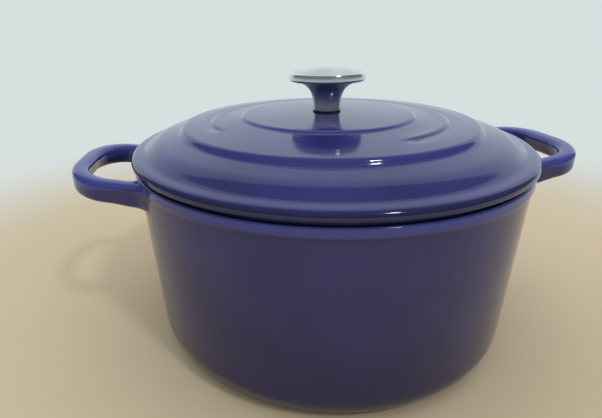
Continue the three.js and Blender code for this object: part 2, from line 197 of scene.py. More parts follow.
sun_data = bpy.data.lights.new("soft_sun", "SUN")
sun_data.energy = SUN_STRENGTH
sun_data.angle = SUN_ANGLE
sun = bpy.data.objects.new("soft_sun", sun_data)
sun.rotation_euler = SUN_DIRECTION.to_track_quat("Z", "Y").to_euler()
scene.collection.objects.link(sun)


def new_finish(name):
    """An empty material, a wire to add nodes with, and the object's own coordinates."""
    material = bpy.data.materials.new(name)
    material.use_nodes = True
    material.node_tree.nodes.clear()
    start = Wire(material.node_tree)
    return material, start.node("ShaderNodeTexCoord")["Object"]


def clouds(place, scale, detail=2):
    """Soft noise from 0 to 1 with this many clouds to the metre."""
    return place.node("ShaderNodeTexNoise", {}, {"Vector": place, "Scale": scale, "Detail": detail})


def surface(place, **sockets):
    """Ends a material in one Principled shader. A name's underscores stand for the spaces of its socket."""
    named = {name.replace("_", " "): value for name, value in sockets.items()}
    shader = place.node("ShaderNodeBsdfPrincipled", {}, named)
    place.node("ShaderNodeOutputMaterial", {}, {"Surface": shader})


def floor_finish():
    """A matt floor near the object. Further out, what is seen of it turns into the backdrop's colour."""
    material, place = new_finish("pale_floor")
    clouded = clouds(place, FLOOR_CLOUDS_PER_METRE).rise(FLOOR_CLOUD_START, FLOOR_CLOUD_FULL)
    shade = clouded.blend(FLOOR_COLOUR, FLOOR_SHADE)
    matt = place.node("ShaderNodeBsdfDiffuse", {}, {"Color": shade})
    pale = place.node("ShaderNodeEmission", {}, {"Color": BACKDROP_COLOUR})
    ray = place.node("ShaderNodeLightPath")
    seen = ray["Is Camera Ray"].over(ray["Is Glossy Ray"]).over(ray["Is Transmission Ray"])
    distance = place.node("ShaderNodeVectorMath", {"operation": "LENGTH"}, {0: place})["Value"]
    far = distance.rise(FLOOR_FADE_START, FLOOR_FADE_END)
    faded = place.node("ShaderNodeMixShader", {}, {0: seen * far, 1: matt, 2: pale})
    place.node("ShaderNodeOutputMaterial", {}, {"Surface": faded})
    return material


half_floor = FLOOR_SIZE / 2
corner_signs = ((-1, -1), (1, -1), (1, 1), (-1, 1))
floor_corners = [(x * half_floor, y * half_floor, -FLOOR_DROP) for x, y in corner_signs]
floor_mesh = bpy.data.meshes.new("floor")
floor_mesh.from_pydata(floor_corners, [], [(0, 1, 2, 3)])
floor_mesh.materials.append(floor_finish())
floor = bpy.data.objects.new("floor", floor_mesh)
scene.collection.objects.link(floor)


# Pot
# One iron casting: a drafted round vessel with a band round its rim, and a loop handle at each end.
# It is enamelled glossy violet-blue outside, and matt black on top of the rim, where the lid sits.
SAME_POINT = 1e-7
SHARP_ANGLE = np.radians(38)


def straight(start, end, steps):
    """Points spaced evenly along a line."""
    t = np.linspace(0, 1, steps + 1)[:, None]
    return (1 - t) * np.array(start) + t * np.array(end)


def bent(*controls, steps=8):
    """Points of a Bezier curve: neighbouring control points are averaged by t until one point is left."""
    t = np.linspace(0, 1, steps + 1)[:, None]
    points = [np.array(control) for control in controls]
    while len(points) > 1:
        points = [(1 - t) * a + t * b for a, b in zip(points, points[1:])]
    return points[0]


def arc(centre, radius, start, end, steps):
    """Points on a circle: the centre plus the radius times the cosine and sine of evenly spaced angles."""
    angle = np.linspace(start, end, steps + 1)
    return np.array(centre) + radius * np.stack([np.cos(angle), np.sin(angle)], axis=1)


def chain(*runs):
    """Runs of points joined end to end, keeping a point that ends one run and starts the next once."""
    points = np.concatenate(runs)
    apart = np.linalg.norm(np.diff(points, axis=0), axis=1) > SAME_POINT
    return points[np.concatenate([[True], apart])]


def turn_angles(segments):
    """Angles spaced evenly round one full turn."""
    return np.linspace(0, 2 * np.pi, segments, endpoint=False)


def grid_faces(rows, columns, rows_close, columns_close):
    """Quads between neighbouring rows and columns of a grid, wrapped round where a direction closes."""
    row = np.arange(rows if rows_close else rows - 1)[:, None]
    column = np.arange(columns if columns_close else columns - 1)
    next_row = (row + 1) % rows * columns
    next_column = (column + 1) % columns
    row = row * columns
    corners = (row + column, row + next_column, next_row + next_column, next_row + column)
    return np.stack(corners, axis=-1).reshape(-1, 4).tolist()


def swept(grid):
    """Points and faces of a section carried along a path, a grid row at each stop, with both ends closed."""
    stops, around = grid.shape[:2]
    first_end = list(range(around))
    last_end = [(stops - 1) * around + i for i in first_end]
    return grid.reshape(-1, 3), [*grid_faces(stops, around, False, True), first_end, last_end]


def turned(radius, height, segments, closed=False):
    """Turns an outline about Z: at angle a it passes through (r cos a, r sin a, z).
    Radius and height are one column, the same all round, or a whole grid with a column for each angle."""
    angle = turn_angles(segments)
    grid = np.stack(np.broadcast_arrays(radius * np.cos(angle), radius * np.sin(angle), height), axis=-1)
    return grid.reshape(-1, 3), grid_faces(len(grid), segments, closed, True)


def lathe(outline, segments, closed=False):
    """Turns an outline of (radius, height) points about Z, the same all round."""
    return turned(outline[:, :1], outline[:, 1:], segments, closed)


def add_piece(name, points, faces, material):
    """A mesh object with its poles merged and its faces outwards, smooth apart from its sharp edges."""
    mesh = bpy.data.meshes.new(name)
    mesh.from_pydata(points, [], faces)
    shell = bmesh.new()
    shell.from_mesh(mesh)
    bmesh.ops.remove_doubles(shell, verts=shell.verts, dist=SAME_POINT)
    bmesh.ops.recalc_face_normals(shell, faces=shell.faces)
    shell.to_mesh(mesh)
    shell.free()
    mesh.shade_smooth()
    mesh.set_sharp_from_angle(angle=SHARP_ANGLE)
    mesh.materials.append(material)
    piece = bpy.data.objects.new(name, mesh)
    scene.collection.objects.link(piece)
    return piece


def combine(piece, tool, operation):
    """Joins a second closed piece to the first, or cuts it away, and removes the second."""
    modifier = piece.modifiers.new(operation, "BOOLEAN")
    modifier.operation = operation
    modifier.solver = "MANIFOLD"
    modifier.object = tool
    result = bpy.data.meshes.new_from_object(piece.evaluated_get(bpy.context.evaluated_depsgraph_get()))
    piece.modifiers.clear()
    piece.data = result
    bpy.data.objects.remove(tool)


lining_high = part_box("pot_lining")[1]
LINING_BELOW_RIM = 0.003
POT_HEIGHT = lining_high.z + LINING_BELOW_RIM
WALL_RADIUS_AT_TABLE = 0.1211
WALL_DRAFT = np.radians(5.6)
WALL_THICKNESS = 0.0036
POT_FLOOR_THICKNESS = 0.0045
BASE_CORNER_RADIUS = 0.0201
RIM_BAND_HEIGHT = 0.006
RIM_BAND_PROUD = 0.0008
RIM_BAND_FILLET = 0.003
RIM_EDGE_ROUND = 0.0014
MOUTH_EDGE_ROUND = 0.0008
POT_SEGMENTS = 240
POT_FLOOR_STEPS = 24
BASE_CORNER_STEPS = 20
WALL_STEPS = 40


def wall_radius(z):
    """The drafted wall's outside radius at a height."""
    return WALL_RADIUS_AT_TABLE + z * np.tan(WALL_DRAFT)


RIM_RADIUS = wall_radius(POT_HEIGHT) + RIM_BAND_PROUD
MOUTH_RADIUS = wall_radius(POT_HEIGHT) - WALL_THICKNESS


def vessel_outline(floor_z, inset, corner, top_z):
    """A flat floor from the axis, an arc that ends on the drafted wall, and the wall up to a height."""
    corner_z = floor_z + corner
    corner_x = wall_radius(corner_z) - inset - corner / np.cos(WALL_DRAFT)
    bend = arc((corner_x, corner_z), corner, -np.pi / 2, -WALL_DRAFT, BASE_CORNER_STEPS)
    return chain(
        straight((0, floor_z), (corner_x, floor_z), POT_FLOOR_STEPS),
        bend,
        straight(bend[-1], (wall_radius(top_z) - inset, top_z), WALL_STEPS),
    )


def pot_outline():
    """The casting's outside from the axis up to the rim, over it, and down the inside back to the axis."""
    band_low = POT_HEIGHT - RIM_BAND_HEIGHT
    band_middle = (wall_radius(band_low) + RIM_RADIUS) / 2
    outside = vessel_outline(0, 0, BASE_CORNER_RADIUS, band_low - RIM_BAND_FILLET)
    inside = vessel_outline(
        POT_FLOOR_THICKNESS,
        WALL_THICKNESS,
        BASE_CORNER_RADIUS - WALL_THICKNESS,
        POT_HEIGHT - MOUTH_EDGE_ROUND,
    )
    mouth_edge = MOUTH_RADIUS + MOUTH_EDGE_ROUND
    return chain(
        outside,
        bent(outside[-1], (wall_radius(band_low), band_low), (band_middle, band_low)),
        bent((band_middle, band_low), (RIM_RADIUS, band_low), (RIM_RADIUS, band_low + RIM_EDGE_ROUND)),
        straight((RIM_RADIUS, band_low + RIM_EDGE_ROUND), (RIM_RADIUS, POT_HEIGHT - RIM_EDGE_ROUND), 3),
        bent(
            (RIM_RADIUS, POT_HEIGHT - RIM_EDGE_ROUND),
            (RIM_RADIUS, POT_HEIGHT),
            (RIM_RADIUS - RIM_EDGE_ROUND, POT_HEIGHT),
        ),
        straight((RIM_RADIUS - RIM_EDGE_ROUND, POT_HEIGHT), (mouth_edge, POT_HEIGHT), 3),
        bent((mouth_edge, POT_HEIGHT), (MOUTH_RADIUS, POT_HEIGHT), inside[-1]),
        inside[::-1],
    )


LOOP_ROOT_HALF_WIDTH = 0.0443
LOOP_TAPER = np.radians(5)
LOOP_CORNER_LENGTH = 0.0238
LOOP_CORNER_SPREAD = 0.034
LOOP_BAR_WIDTH = 0.011
LOOP_BAR_HEIGHT = 0.0144
LOOP_BAR_ROUND = 0.004
LOOP_BAR_DRAFT = 0.0012
LOOP_BAR_CORNER_STEPS = 8
LOOP_RISE = np.radians(9)
LOOP_BELOW_RIM = 0.0095
LOOP_LENGTH = 0.0424
LOOP_FLARE = 0.001
LOOP_FLARE_LENGTH = 0.014
LOOP_FILLET = 0.008
LOOP_UPRIGHT_FILLET_SHARE = 0.25
LOOP_BURIED = 0.0015
LOOP_ROOT_TRIES = 12
LOOP_LEG_STEPS = 30
LOOP_LEG_CROWDING = 1.6
LOOP_CORNER_STEPS = 26
LOOP_TIP_STEPS = 8


def bar_section():
    """The bar's section, narrower below, with round corners: points and outward normals of (across, up)."""
    up = LOOP_BAR_HEIGHT / 2 - LOOP_BAR_ROUND
    top = LOOP_BAR_WIDTH / 2 - LOOP_BAR_ROUND
    low = top - LOOP_BAR_DRAFT
    quarter = np.pi / 2
    corners = np.array([(top, up), (-top, up), (-low, -up), (low, -up)])
    normals = [arc((0, 0), 1, i * quarter, (i + 1) * quarter, LOOP_BAR_CORNER_STEPS) for i in range(4)]
    points = [corner + LOOP_BAR_ROUND * normal for corner, normal in zip(corners, normals)]
    return np.concatenate(points), np.concatenate(normals)


def tilted(x, y, up):
    """The handle's plane turned up about Y at the wall: x runs out, and up stands off the plane."""
    root_z = POT_HEIGHT - LOOP_BELOW_RIM
    root_x = wall_radius(root_z)
    out = x - root_x
    cos, sin = np.cos(LOOP_RISE), np.sin(LOOP_RISE)
    return root_x + out * cos - up * sin, y, root_z + out * sin + up * cos


def outside_wall(x, y, z):
    """How far a point is outside the wall, measured straight out from the pot's axis."""
    return np.hypot(x, y) - wall_radius(z)


def loop_handle():
    """The bar carried along half the loop and mirrored. From inside the wall each line of the bar runs along
    a leg that leans inwards, beside a quarter ellipse and to the middle of the tip. Its underside grows
    deeper towards the wall with the square of the nearness. At the wall the section swells sideways by
    fillet - sqrt(fillet^2 - (fillet - d)^2), where d is the distance to the wall, and by a share of that up
    and down. What has swelled is drawn back towards the axis until it is d from the wall again, so that it
    meets it."""
    section, section_normal = bar_section()
    across, up = section[:, :1], section[:, 1:]
    root_x = wall_radius(POT_HEIGHT - LOOP_BELOW_RIM)
    tip_x = root_x + LOOP_LENGTH - LOOP_BAR_WIDTH / 2
    corner_x = tip_x - LOOP_CORNER_LENGTH
    corner_start = np.arctan2(LOOP_CORNER_SPREAD, LOOP_CORNER_LENGTH * np.tan(LOOP_TAPER))
    leg_out, leg_in = np.cos(LOOP_TAPER), np.sin(LOOP_TAPER)
    leg_end_x = corner_x + LOOP_CORNER_LENGTH * np.cos(corner_start)
    leg_end_y = LOOP_ROOT_HALF_WIDTH - (leg_end_x - root_x) * np.tan(LOOP_TAPER)
    corner_y = leg_end_y - LOOP_CORNER_SPREAD * np.sin(corner_start)

    def deepened(x):
        nearness = np.clip(1 - (x - root_x) / LOOP_FLARE_LENGTH, 0, 1)
        return up + np.minimum(up, 0) * 2 * LOOP_FLARE * nearness**2 / LOOP_BAR_HEIGHT

    def on_leg(back):
        """Points on the leg, this far back from its outer end towards the wall."""
        return leg_end_x - back * leg_out + across * leg_in, leg_end_y + back * leg_in + across * leg_out

    length = np.full_like(across, leg_end_x - root_x)
    for _ in range(LOOP_ROOT_TRIES):
        x, y = on_leg(length)
        length += outside_wall(*tilted(x, y, deepened(x))) + LOOP_BURIED
    nearness = np.linspace(1, 0, LOOP_LEG_STEPS + 1)
    leg_x, leg_y = on_leg(length * (1 - (1 - nearness) ** LOOP_LEG_CROWDING))
    turn = np.linspace(corner_start, 0, LOOP_CORNER_STEPS + 1)[1:]
    along, aside = LOOP_CORNER_LENGTH * np.cos(turn), LOOP_CORNER_SPREAD * np.sin(turn)
    facing = np.arctan2(LOOP_CORNER_LENGTH * np.sin(turn), LOOP_CORNER_SPREAD * np.cos(turn))
    corner = corner_x + along + across * np.cos(facing), corner_y + aside + across * np.sin(facing)
    tip_y = corner_y * np.linspace(1, 0, LOOP_TIP_STEPS + 1)[1:]
    x = np.concatenate([leg_x, corner[0], tip_x + across + 0 * tip_y], axis=1)
    y = np.concatenate([leg_y, corner[1], tip_y + 0 * across], axis=1)

    heading = np.concatenate([np.full(LOOP_LEG_STEPS + 1, np.pi / 2 - LOOP_TAPER), facing, 0 * tip_y])
    deep = deepened(x)
    distance = outside_wall(*tilted(x, y, deep))
    swell = LOOP_FILLET - np.sqrt(LOOP_FILLET**2 - (LOOP_FILLET - np.clip(distance, 0, LOOP_FILLET)) ** 2)
    swell_across = swell * section_normal[:, :1]
    swell_up = LOOP_UPRIGHT_FILLET_SHARE * swell * section_normal[:, 1:]
    swelled_x = x + swell_across * np.cos(heading)
    swelled_y = y + swell_across * np.sin(heading)
    x, y, z = tilted(swelled_x, swelled_y, deep + swell_up)
    strayed = (outside_wall(x, y, z) - distance) * swell / LOOP_FILLET
    inwards = 1 - strayed / np.hypot(x, y)
    x, y = x * inwards, y * inwards
    x = np.concatenate([x, x[:, -2::-1]], axis=1)
    y = np.concatenate([y, -y[:, -2::-1]], axis=1)
    z = np.concatenate([z, z[:, -2::-1]], axis=1)
    return swept(np.stack([x, y, z], axis=-1).transpose(1, 0, 2))


ENAMEL_BODY = (0.031, 0.034, 0.165, 1)
ENAMEL_DEEP = (0.024, 0.026, 0.130, 1)
# Lighter enamel, painted as a highlight on the rim band and the lid's step crests.
ENAMEL_PAINTED_HIGHLIGHT = (0.050, 0.058, 0.27, 1)
# Darker enamel, painted as shade low on the pot's wall and on the lid's lip.
ENAMEL_PAINTED_SHADE = (0.014, 0.012, 0.052, 1)
ENAMEL_SPECK = (0.006, 0.006, 0.022, 1)
RIM_BLACK = (0.012, 0.012, 0.016, 1)
GLASS_IOR = 1.5
GLAZE_ROUGHNESS = 0.06
SMEAR_ROUGHNESS = 0.05
SMEARS_PER_METRE = 40
TONES_PER_METRE = 22
TONE_START = 0.35
TONE_FULL = 0.68
SPECKS_PER_METRE = 260
SPECK_CORE = 0.05
SPECK_EDGE = 0.09
SPECKLED_PATCHES_PER_METRE = 95
SPECKLED_START = 0.6
SPECKLED_FULL = 0.66
PEEL_PER_METRE = 190
FINE_PEEL_PER_METRE = 900
FINE_PEEL_SHARE = 0.25
PEEL_DEPTH = 0.00012
PEEL_STRENGTH = 0.35
# The painted shade darkens the wall from this low height up to this high one.
WALL_SHADE_LOW = -0.02
WALL_SHADE_HIGH = 0.105
WALL_SHADE_SHARE = 0.85
SEAT_EDGE = 0.0004
SEAT_DEPTH = 0.006
SEAT_ROUGHNESS = 0.4


def fused_enamel(name, body, deep, speck, paint=None):
    """Glass fused to iron: two tones in slow clouds, rare specks, and a glossy skin with faint orange peel.
    paint(place, colour, roughness) adds what differs from place to place on one casting."""
    material, place = new_finish(name)
    colour = clouds(place, TONES_PER_METRE, 4).rise(TONE_START, TONE_FULL).blend(body, deep)
    cells = place.node("ShaderNodeTexVoronoi", {}, {"Vector": place, "Scale": SPECKS_PER_METRE})
    rare = clouds(place, SPECKLED_PATCHES_PER_METRE).rise(SPECKLED_START, SPECKLED_FULL)
    colour = ((1 - cells["Distance"].rise(SPECK_CORE, SPECK_EDGE)) * rare).blend(colour, speck)
    roughness = GLAZE_ROUGHNESS + SMEAR_ROUGHNESS * clouds(place, SMEARS_PER_METRE, 3)
    if paint:
        colour, roughness = paint(place, colour, roughness)
    peel = clouds(place, PEEL_PER_METRE) + FINE_PEEL_SHARE * clouds(place, FINE_PEEL_PER_METRE)
    bumps = {"Height": peel, "Strength": PEEL_STRENGTH, "Distance": PEEL_DEPTH}
    skin = place.node("ShaderNodeBump", {}, bumps)
    surface(place, Base_Color=colour, Roughness=roughness, Normal=skin, IOR=GLASS_IOR)
    return material


def from_axis(place):
    """A point's distance from the pot's axis and its height, as two wires."""
    axes = place.node("ShaderNodeSeparateXYZ", {}, {"Vector": place})
    return (axes["X"] * axes["X"] + axes["Y"] * axes["Y"]) ** 0.5, axes["Z"]


def pot_paint(place, colour, roughness):
    """Darker enamel low on the wall, which is painted shade, lighter enamel over the rim band, which is a
    painted highlight, and a matt black seat on top of the rim."""
    radius, height = from_axis(place)
    # Painted shade: the wall is darker towards the table.
    painted_shade = 1 - height.rise(WALL_SHADE_LOW, WALL_SHADE_HIGH)
    colour = (WALL_SHADE_SHARE * painted_shade).blend(colour, ENAMEL_PAINTED_SHADE)
    band_low = POT_HEIGHT - RIM_BAND_HEIGHT
    # Painted highlight: the rim band is lighter.
    on_band = height.rise(band_low, band_low + RIM_EDGE_ROUND) * radius.rise(MOUTH_RADIUS, RIM_RADIUS)
    colour = on_band.blend(colour, ENAMEL_PAINTED_HIGHLIGHT)
    seat_radius = RIM_RADIUS - RIM_EDGE_ROUND
    inside_rim = 1 - radius.rise(seat_radius, seat_radius + SEAT_EDGE)
    seat = inside_rim * height.rise(POT_HEIGHT - SEAT_DEPTH, POT_HEIGHT - SEAT_DEPTH + SEAT_EDGE)
    return seat.blend(colour, RIM_BLACK), roughness + SEAT_ROUGHNESS * seat


enamel = fused_enamel("violet_enamel_pot", ENAMEL_BODY, ENAMEL_DEEP, ENAMEL_SPECK, pot_paint)
pot = add_piece("pot_casting", *lathe(pot_outline(), POT_SEGMENTS), enamel)
handle_points, handle_faces = loop_handle()
for side, way in (("right", 1), ("left", -1)):
    half_turn = np.array([way, way, 1])
    combine(pot, add_piece(f"{side}_handle", handle_points * half_turn, handle_faces, enamel), "UNION")
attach(pot, "pot_body")
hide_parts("pot")


# Pot lining
# A coat of pale cream enamel on the floor and wall inside, fused to the iron and stopping short of the rim.
# It is half a millimetre thick, with a square top edge where the coat ends.
LINING_THICKNESS = 0.0005
BOND_GAP = 0.00005
CREAM_BODY = (0.80, 0.75, 0.62, 1)
CREAM_DEEP = (0.75, 0.69, 0.55, 1)
CREAM_SPECK = (0.24, 0.18, 0.11, 1)


def lining_outline():
    """The coat's hidden face up the wall, its top edge, and its open face back down to the axis."""

    def face(inset):
        corner = BASE_CORNER_RADIUS - WALL_THICKNESS - inset
        return vessel_outline(POT_FLOOR_THICKNESS + inset, WALL_THICKNESS + inset, corner, lining_high.z)

    hidden, open_face = face(BOND_GAP), face(BOND_GAP + LINING_THICKNESS)
    return chain(hidden, open_face[::-1])


cream_enamel = fused_enamel("cream_enamel_pot", CREAM_BODY, CREAM_DEEP, CREAM_SPECK)
pot_lining = add_piece("pot_enamel_lining", *lathe(lining_outline(), POT_SEGMENTS), cream_enamel)
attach(pot_lining, "pot_body")
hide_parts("pot_lining")


# Lid
# A second casting: flat steps round the middle, a shoulder that falls steeply to a ledge, a rolled lip that
# hangs over the rim, and a skirt below that keeps it centred. The middle step dies out over a bare sector
# at the front.
lid_low, lid_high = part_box("lid")
LID_RADIUS = lid_high.x
BOSS_Z = lid_high.z
SKIRT_LOW = lid_low.z
LID_THICKNESS = 0.0038
LIP_GAP = 0.003
LIP_ROUND = 0.0017
LIP_Z = POT_HEIGHT + LIP_GAP
ROLL_WIDTH = 0.0037
ROLL_HEIGHT = 0.0058
ROLL_FALL = 0.0002
ROLL_FULLNESS = 0.57
LEDGE_INSET = 0.0069
LEDGE_FALL = 0.0004
BROW_INSET = 0.021
BROW_HEIGHT = 0.0077
BROW_EASE = 0.58
LEDGE_EASE = 0.28
SHOULDER_RADIUS = LID_RADIUS - ROLL_WIDTH
SHOULDER_Z = LIP_Z + ROLL_HEIGHT
BOSS_RADIUS = 0.011
SCREW_HOLE_RADIUS = 0.0032
CREST_ROUND = 0.0016
DISC_FALL = 0.0011
DISC_FLATNESS = 0.4
LAND_FALL = 0.00075
DISC_STEP = {"radius": 0.0593, "z": BOSS_Z - DISC_FALL, "drop": 0.0018, "run": 0.0024}
RING_Z = DISC_STEP["z"] - DISC_STEP["drop"] - LAND_FALL
RING_STEP = {"radius": 0.0805, "z": RING_Z, "drop": 0.0014, "run": 0.0018}
PLATEAU_Z = RING_STEP["z"] - RING_STEP["drop"] - LAND_FALL
PLATEAU_STEP = {"radius": 0.1011, "z": PLATEAU_Z, "drop": 0.0045, "run": 0.0036}
RING_REACH = 0.006
RING_STEEPNESS = 2.2
HOLLOW_INSET = 0.003
SEAT_INSET = 0.0028
SKIRT_CLEARANCE = 0.002
SKIRT_WIDTH = 0.004
SKIRT_CHAMFER = 0.0008
SKIRT_RADIUS = MOUTH_RADIUS - SKIRT_CLEARANCE
SKIRT_INNER_RADIUS = SKIRT_RADIUS - SKIRT_WIDTH
BARE_SECTOR_CENTRE = np.radians(-114)
BARE_SECTOR_HALF_ANGLE = np.radians(46)
BARE_SECTOR_FADE = np.radians(5.5)
LID_SEGMENTS = 320
LAND_ROWS = 6
RING_ROWS = 61
# How strongly the painted shade darkens the lip, and how soft its edges are.
LIP_SHADE_SHARE = 0.7
LIP_SHADE_EDGE = 0.001
# How strongly the painted highlight lightens the step crests.
CREST_HIGHLIGHT_SHARE = 0.55
CREST_FADE_START = 0.6
CREST_FADE_END = 1.2


def over_step(radius, z, drop, run, next_slope):
    """One step seen from the side: a round crest, half-way down its slope, and a hollow foot that runs out
    at the slope of what follows."""
    halfway = (radius + run / 3, z - drop / 2)
    crest = bent((radius - CREST_ROUND, z), (radius, z), halfway)
    foot = bent(halfway, (radius + 2 * run / 3, z - drop + next_slope * run / 3), (radius + run, z - drop))
    return chain(crest, foot)


def shoulder(foot, brow, ledge):
    """A gentle slope from the last step's foot to the brow, then a steep S-curve that leaves the brow along
    that slope and reaches the ledge along the ledge's own slope."""
    foot, brow, ledge = np.array(foot), np.array(brow), np.array(ledge)
    width = ledge[0] - brow[0]
    along_slope = (brow - foot) / (brow[0] - foot[0])
    along_ledge = np.array([1, -LEDGE_FALL / (LEDGE_INSET - ROLL_WIDTH)])
    leaves = brow + BROW_EASE * width * along_slope
    arrives = ledge - LEDGE_EASE * width * along_ledge
    return chain(straight(foot, brow, 8), bent(brow, leaves, arrives, ledge, steps=24))


def lid_top_outline():
    """The upper face from the screw hole out: a crowned disc, the lands as one straight slope, the shoulder,
    the ledge and the rolled lip."""
    brow = (LID_RADIUS - BROW_INSET, SHOULDER_Z + BROW_HEIGHT)
    ledge = (LID_RADIUS - LEDGE_INSET, SHOULDER_Z + LEDGE_FALL)
    land_foot = (DISC_STEP["radius"] + DISC_STEP["run"], DISC_STEP["z"] - DISC_STEP["drop"])
    land_edge = (PLATEAU_STEP["radius"] - CREST_ROUND, PLATEAU_STEP["z"])
    land_slope = (land_foot[1] - land_edge[1]) / (land_edge[0] - land_foot[0])
    plateau_foot = (PLATEAU_STEP["radius"] + PLATEAU_STEP["run"], PLATEAU_STEP["z"] - PLATEAU_STEP["drop"])
    brow_slope = (plateau_foot[1] - brow[1]) / (brow[0] - plateau_foot[0])
    disc = over_step(**DISC_STEP, next_slope=land_slope)
    flat_radius = (1 - DISC_FLATNESS) * BOSS_RADIUS + DISC_FLATNESS * disc[0][0]
    plateau = over_step(**PLATEAU_STEP, next_slope=brow_slope)
    near_ring = RING_STEP["radius"] + 2 * RING_REACH * np.linspace(-1, 1, RING_ROWS)
    before_ring = np.linspace(land_foot[0], near_ring[0], LAND_ROWS)
    lands = np.concatenate([before_ring, near_ring, [land_edge[0]]])
    land_z = np.interp(lands, [land_foot[0], land_edge[0]], [land_foot[1], land_edge[1]])
    roll_low = LIP_Z + LIP_ROUND
    return chain(
        straight((SCREW_HOLE_RADIUS, BOSS_Z), (BOSS_RADIUS, BOSS_Z), 3),
        bent((BOSS_RADIUS, BOSS_Z), (flat_radius, BOSS_Z), disc[0], steps=16),
        disc,
        np.stack([lands, land_z], axis=1),
        plateau,
        shoulder(plateau_foot, brow, ledge),
        straight(ledge, (SHOULDER_RADIUS, SHOULDER_Z), 4),
        bent(
            (SHOULDER_RADIUS, SHOULDER_Z),
            (SHOULDER_RADIUS + ROLL_FULLNESS * ROLL_WIDTH, SHOULDER_Z - ROLL_FALL),
            (LID_RADIUS, roll_low + ROLL_FULLNESS * (SHOULDER_Z - roll_low)),
            (LID_RADIUS, roll_low),
            steps=14,
        ),
        bent((LID_RADIUS, roll_low), (LID_RADIUS, LIP_Z), (LID_RADIUS - LIP_ROUND, LIP_Z)),
    )


def lid_hollow_outline(drop):
    """The hollow's face from the screw hole out to the skirt, lowered by a thickness."""
    seat_z = BOSS_Z - LID_THICKNESS - drop
    runs = [straight((SCREW_HOLE_RADIUS, seat_z), (BOSS_RADIUS, seat_z), 3)]
    for step in (DISC_STEP, RING_STEP, PLATEAU_STEP):
        under_z = step["z"] - LID_THICKNESS - drop
        slope_start = (step["radius"] - HOLLOW_INSET, under_z)
        slope_end = (step["radius"], under_z - step["drop"])
        runs.append(straight(runs[-1][-1], slope_start, 8))
        runs.append(straight(slope_start, slope_end, 2))
    brow = (LID_RADIUS - BROW_INSET - HOLLOW_INSET, SHOULDER_Z + BROW_HEIGHT - LID_THICKNESS - drop)
    skirt_foot = (SKIRT_INNER_RADIUS - SKIRT_CHAMFER, SHOULDER_Z - LID_THICKNESS - drop)
    return chain(*runs, shoulder(slope_end, brow, skirt_foot))


def lid_under_outline():
    """The lower face from the lip in: the seat on the rim, the skirt, and the hollow to the screw hole."""
    corners = [
        (LID_RADIUS - LIP_ROUND, LIP_Z),
        (RIM_RADIUS - SEAT_INSET, POT_HEIGHT),
        (SKIRT_RADIUS + SKIRT_CHAMFER, POT_HEIGHT),
        (SKIRT_RADIUS, POT_HEIGHT - SKIRT_CHAMFER),
        (SKIRT_RADIUS, SKIRT_LOW + SKIRT_CHAMFER),
        (SKIRT_RADIUS - SKIRT_CHAMFER, SKIRT_LOW),
        (SKIRT_INNER_RADIUS + SKIRT_CHAMFER, SKIRT_LOW),
        (SKIRT_INNER_RADIUS, SKIRT_LOW + SKIRT_CHAMFER),
    ]
    hollow = lid_hollow_outline(0)[::-1]
    sides = [straight(start, end, 2) for start, end in zip(corners, [*corners[1:], hollow[0]])]
    return chain(*sides, hollow)


def lid_surface():
    """The outline turned about Z, with the ring's step added to the lands. Its height is
    -drop / 2 * tanh(steepness * d / run) * exp(-(d / reach)^2), where d is the distance from the middle of
    its slope, and a smooth S-curve of the angle fades it out at both ends of the bare sector."""
    top = lid_top_outline()
    outline = chain(top, lid_under_outline())[:-1]
    radius, height = outline[:, :1], outline[:, 1:]
    on_top = (np.arange(len(outline)) < len(top))[:, None]
    distance = radius - RING_STEP["radius"] - RING_STEP["run"] / 3
    step = -RING_STEP["drop"] / 2 * np.tanh(RING_STEEPNESS * distance / RING_STEP["run"])
    step = on_top * step * np.exp(-((distance / RING_REACH) ** 2))
    turn = turn_angles(LID_SEGMENTS) - BARE_SECTOR_CENTRE
    from_centre = np.abs((turn + np.pi) % (2 * np.pi) - np.pi)
    t = np.clip((from_centre - BARE_SECTOR_HALF_ANGLE + BARE_SECTOR_FADE) / (2 * BARE_SECTOR_FADE), 0, 1)
    return turned(radius, height + step * t * t * (3 - 2 * t), LID_SEGMENTS, closed=True)


def lid_paint(place, colour, roughness):
    """A painted highlight of lighter enamel over two steps' crests and down their slopes, and painted shade
    of darker enamel on the lip.
    """
    radius, height = from_axis(place)
    # Painted shade: the lip is darker.
    outside = radius.rise(SHOULDER_RADIUS + LIP_SHADE_EDGE, LID_RADIUS - LIP_SHADE_EDGE)
    on_lip = outside * (1 - height.rise(SHOULDER_Z - LIP_SHADE_EDGE, SHOULDER_Z))
    colour = (LIP_SHADE_SHARE * on_lip).blend(colour, ENAMEL_PAINTED_SHADE)
    # Painted highlight: the crests and their slopes are lighter.
    for step in (DISC_STEP, PLATEAU_STEP):
        crest = step["radius"]
        over_crest = radius.rise(crest - CREST_ROUND, crest)
        fade_start, fade_end = crest + CREST_FADE_START * step["run"], crest + CREST_FADE_END * step["run"]
        past_slope = radius.rise(fade_start, fade_end)
        colour = (CREST_HIGHLIGHT_SHARE * over_crest * (1 - past_slope)).blend(colour, ENAMEL_PAINTED_HIGHLIGHT)
    return colour, roughness


enamel = fused_enamel("violet_enamel_lid", ENAMEL_BODY, ENAMEL_DEEP, ENAMEL_SPECK, lid_paint)
lid = add_piece("lid_casting", *lid_surface(), enamel)
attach(lid, "lid_body")
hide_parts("lid")


# Lid lining
# The same cream enamel on the underside of the lid, inside the skirt.
# It covers the hollow from the screw hole out to the skirt's foot.
upper, lower = lid_hollow_outline(BOND_GAP), lid_hollow_outline(BOND_GAP + LINING_THICKNESS)
outline = chain(upper, lower[::-1])
cream_enamel = fused_enamel("cream_enamel_lid", CREAM_BODY, CREAM_DEEP, CREAM_SPECK)
lid_lining = add_piece("lid_enamel_lining", *lathe(outline, POT_SEGMENTS, closed=True), cream_enamel)
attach(lid_lining, "lid_body")
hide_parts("lid_lining")


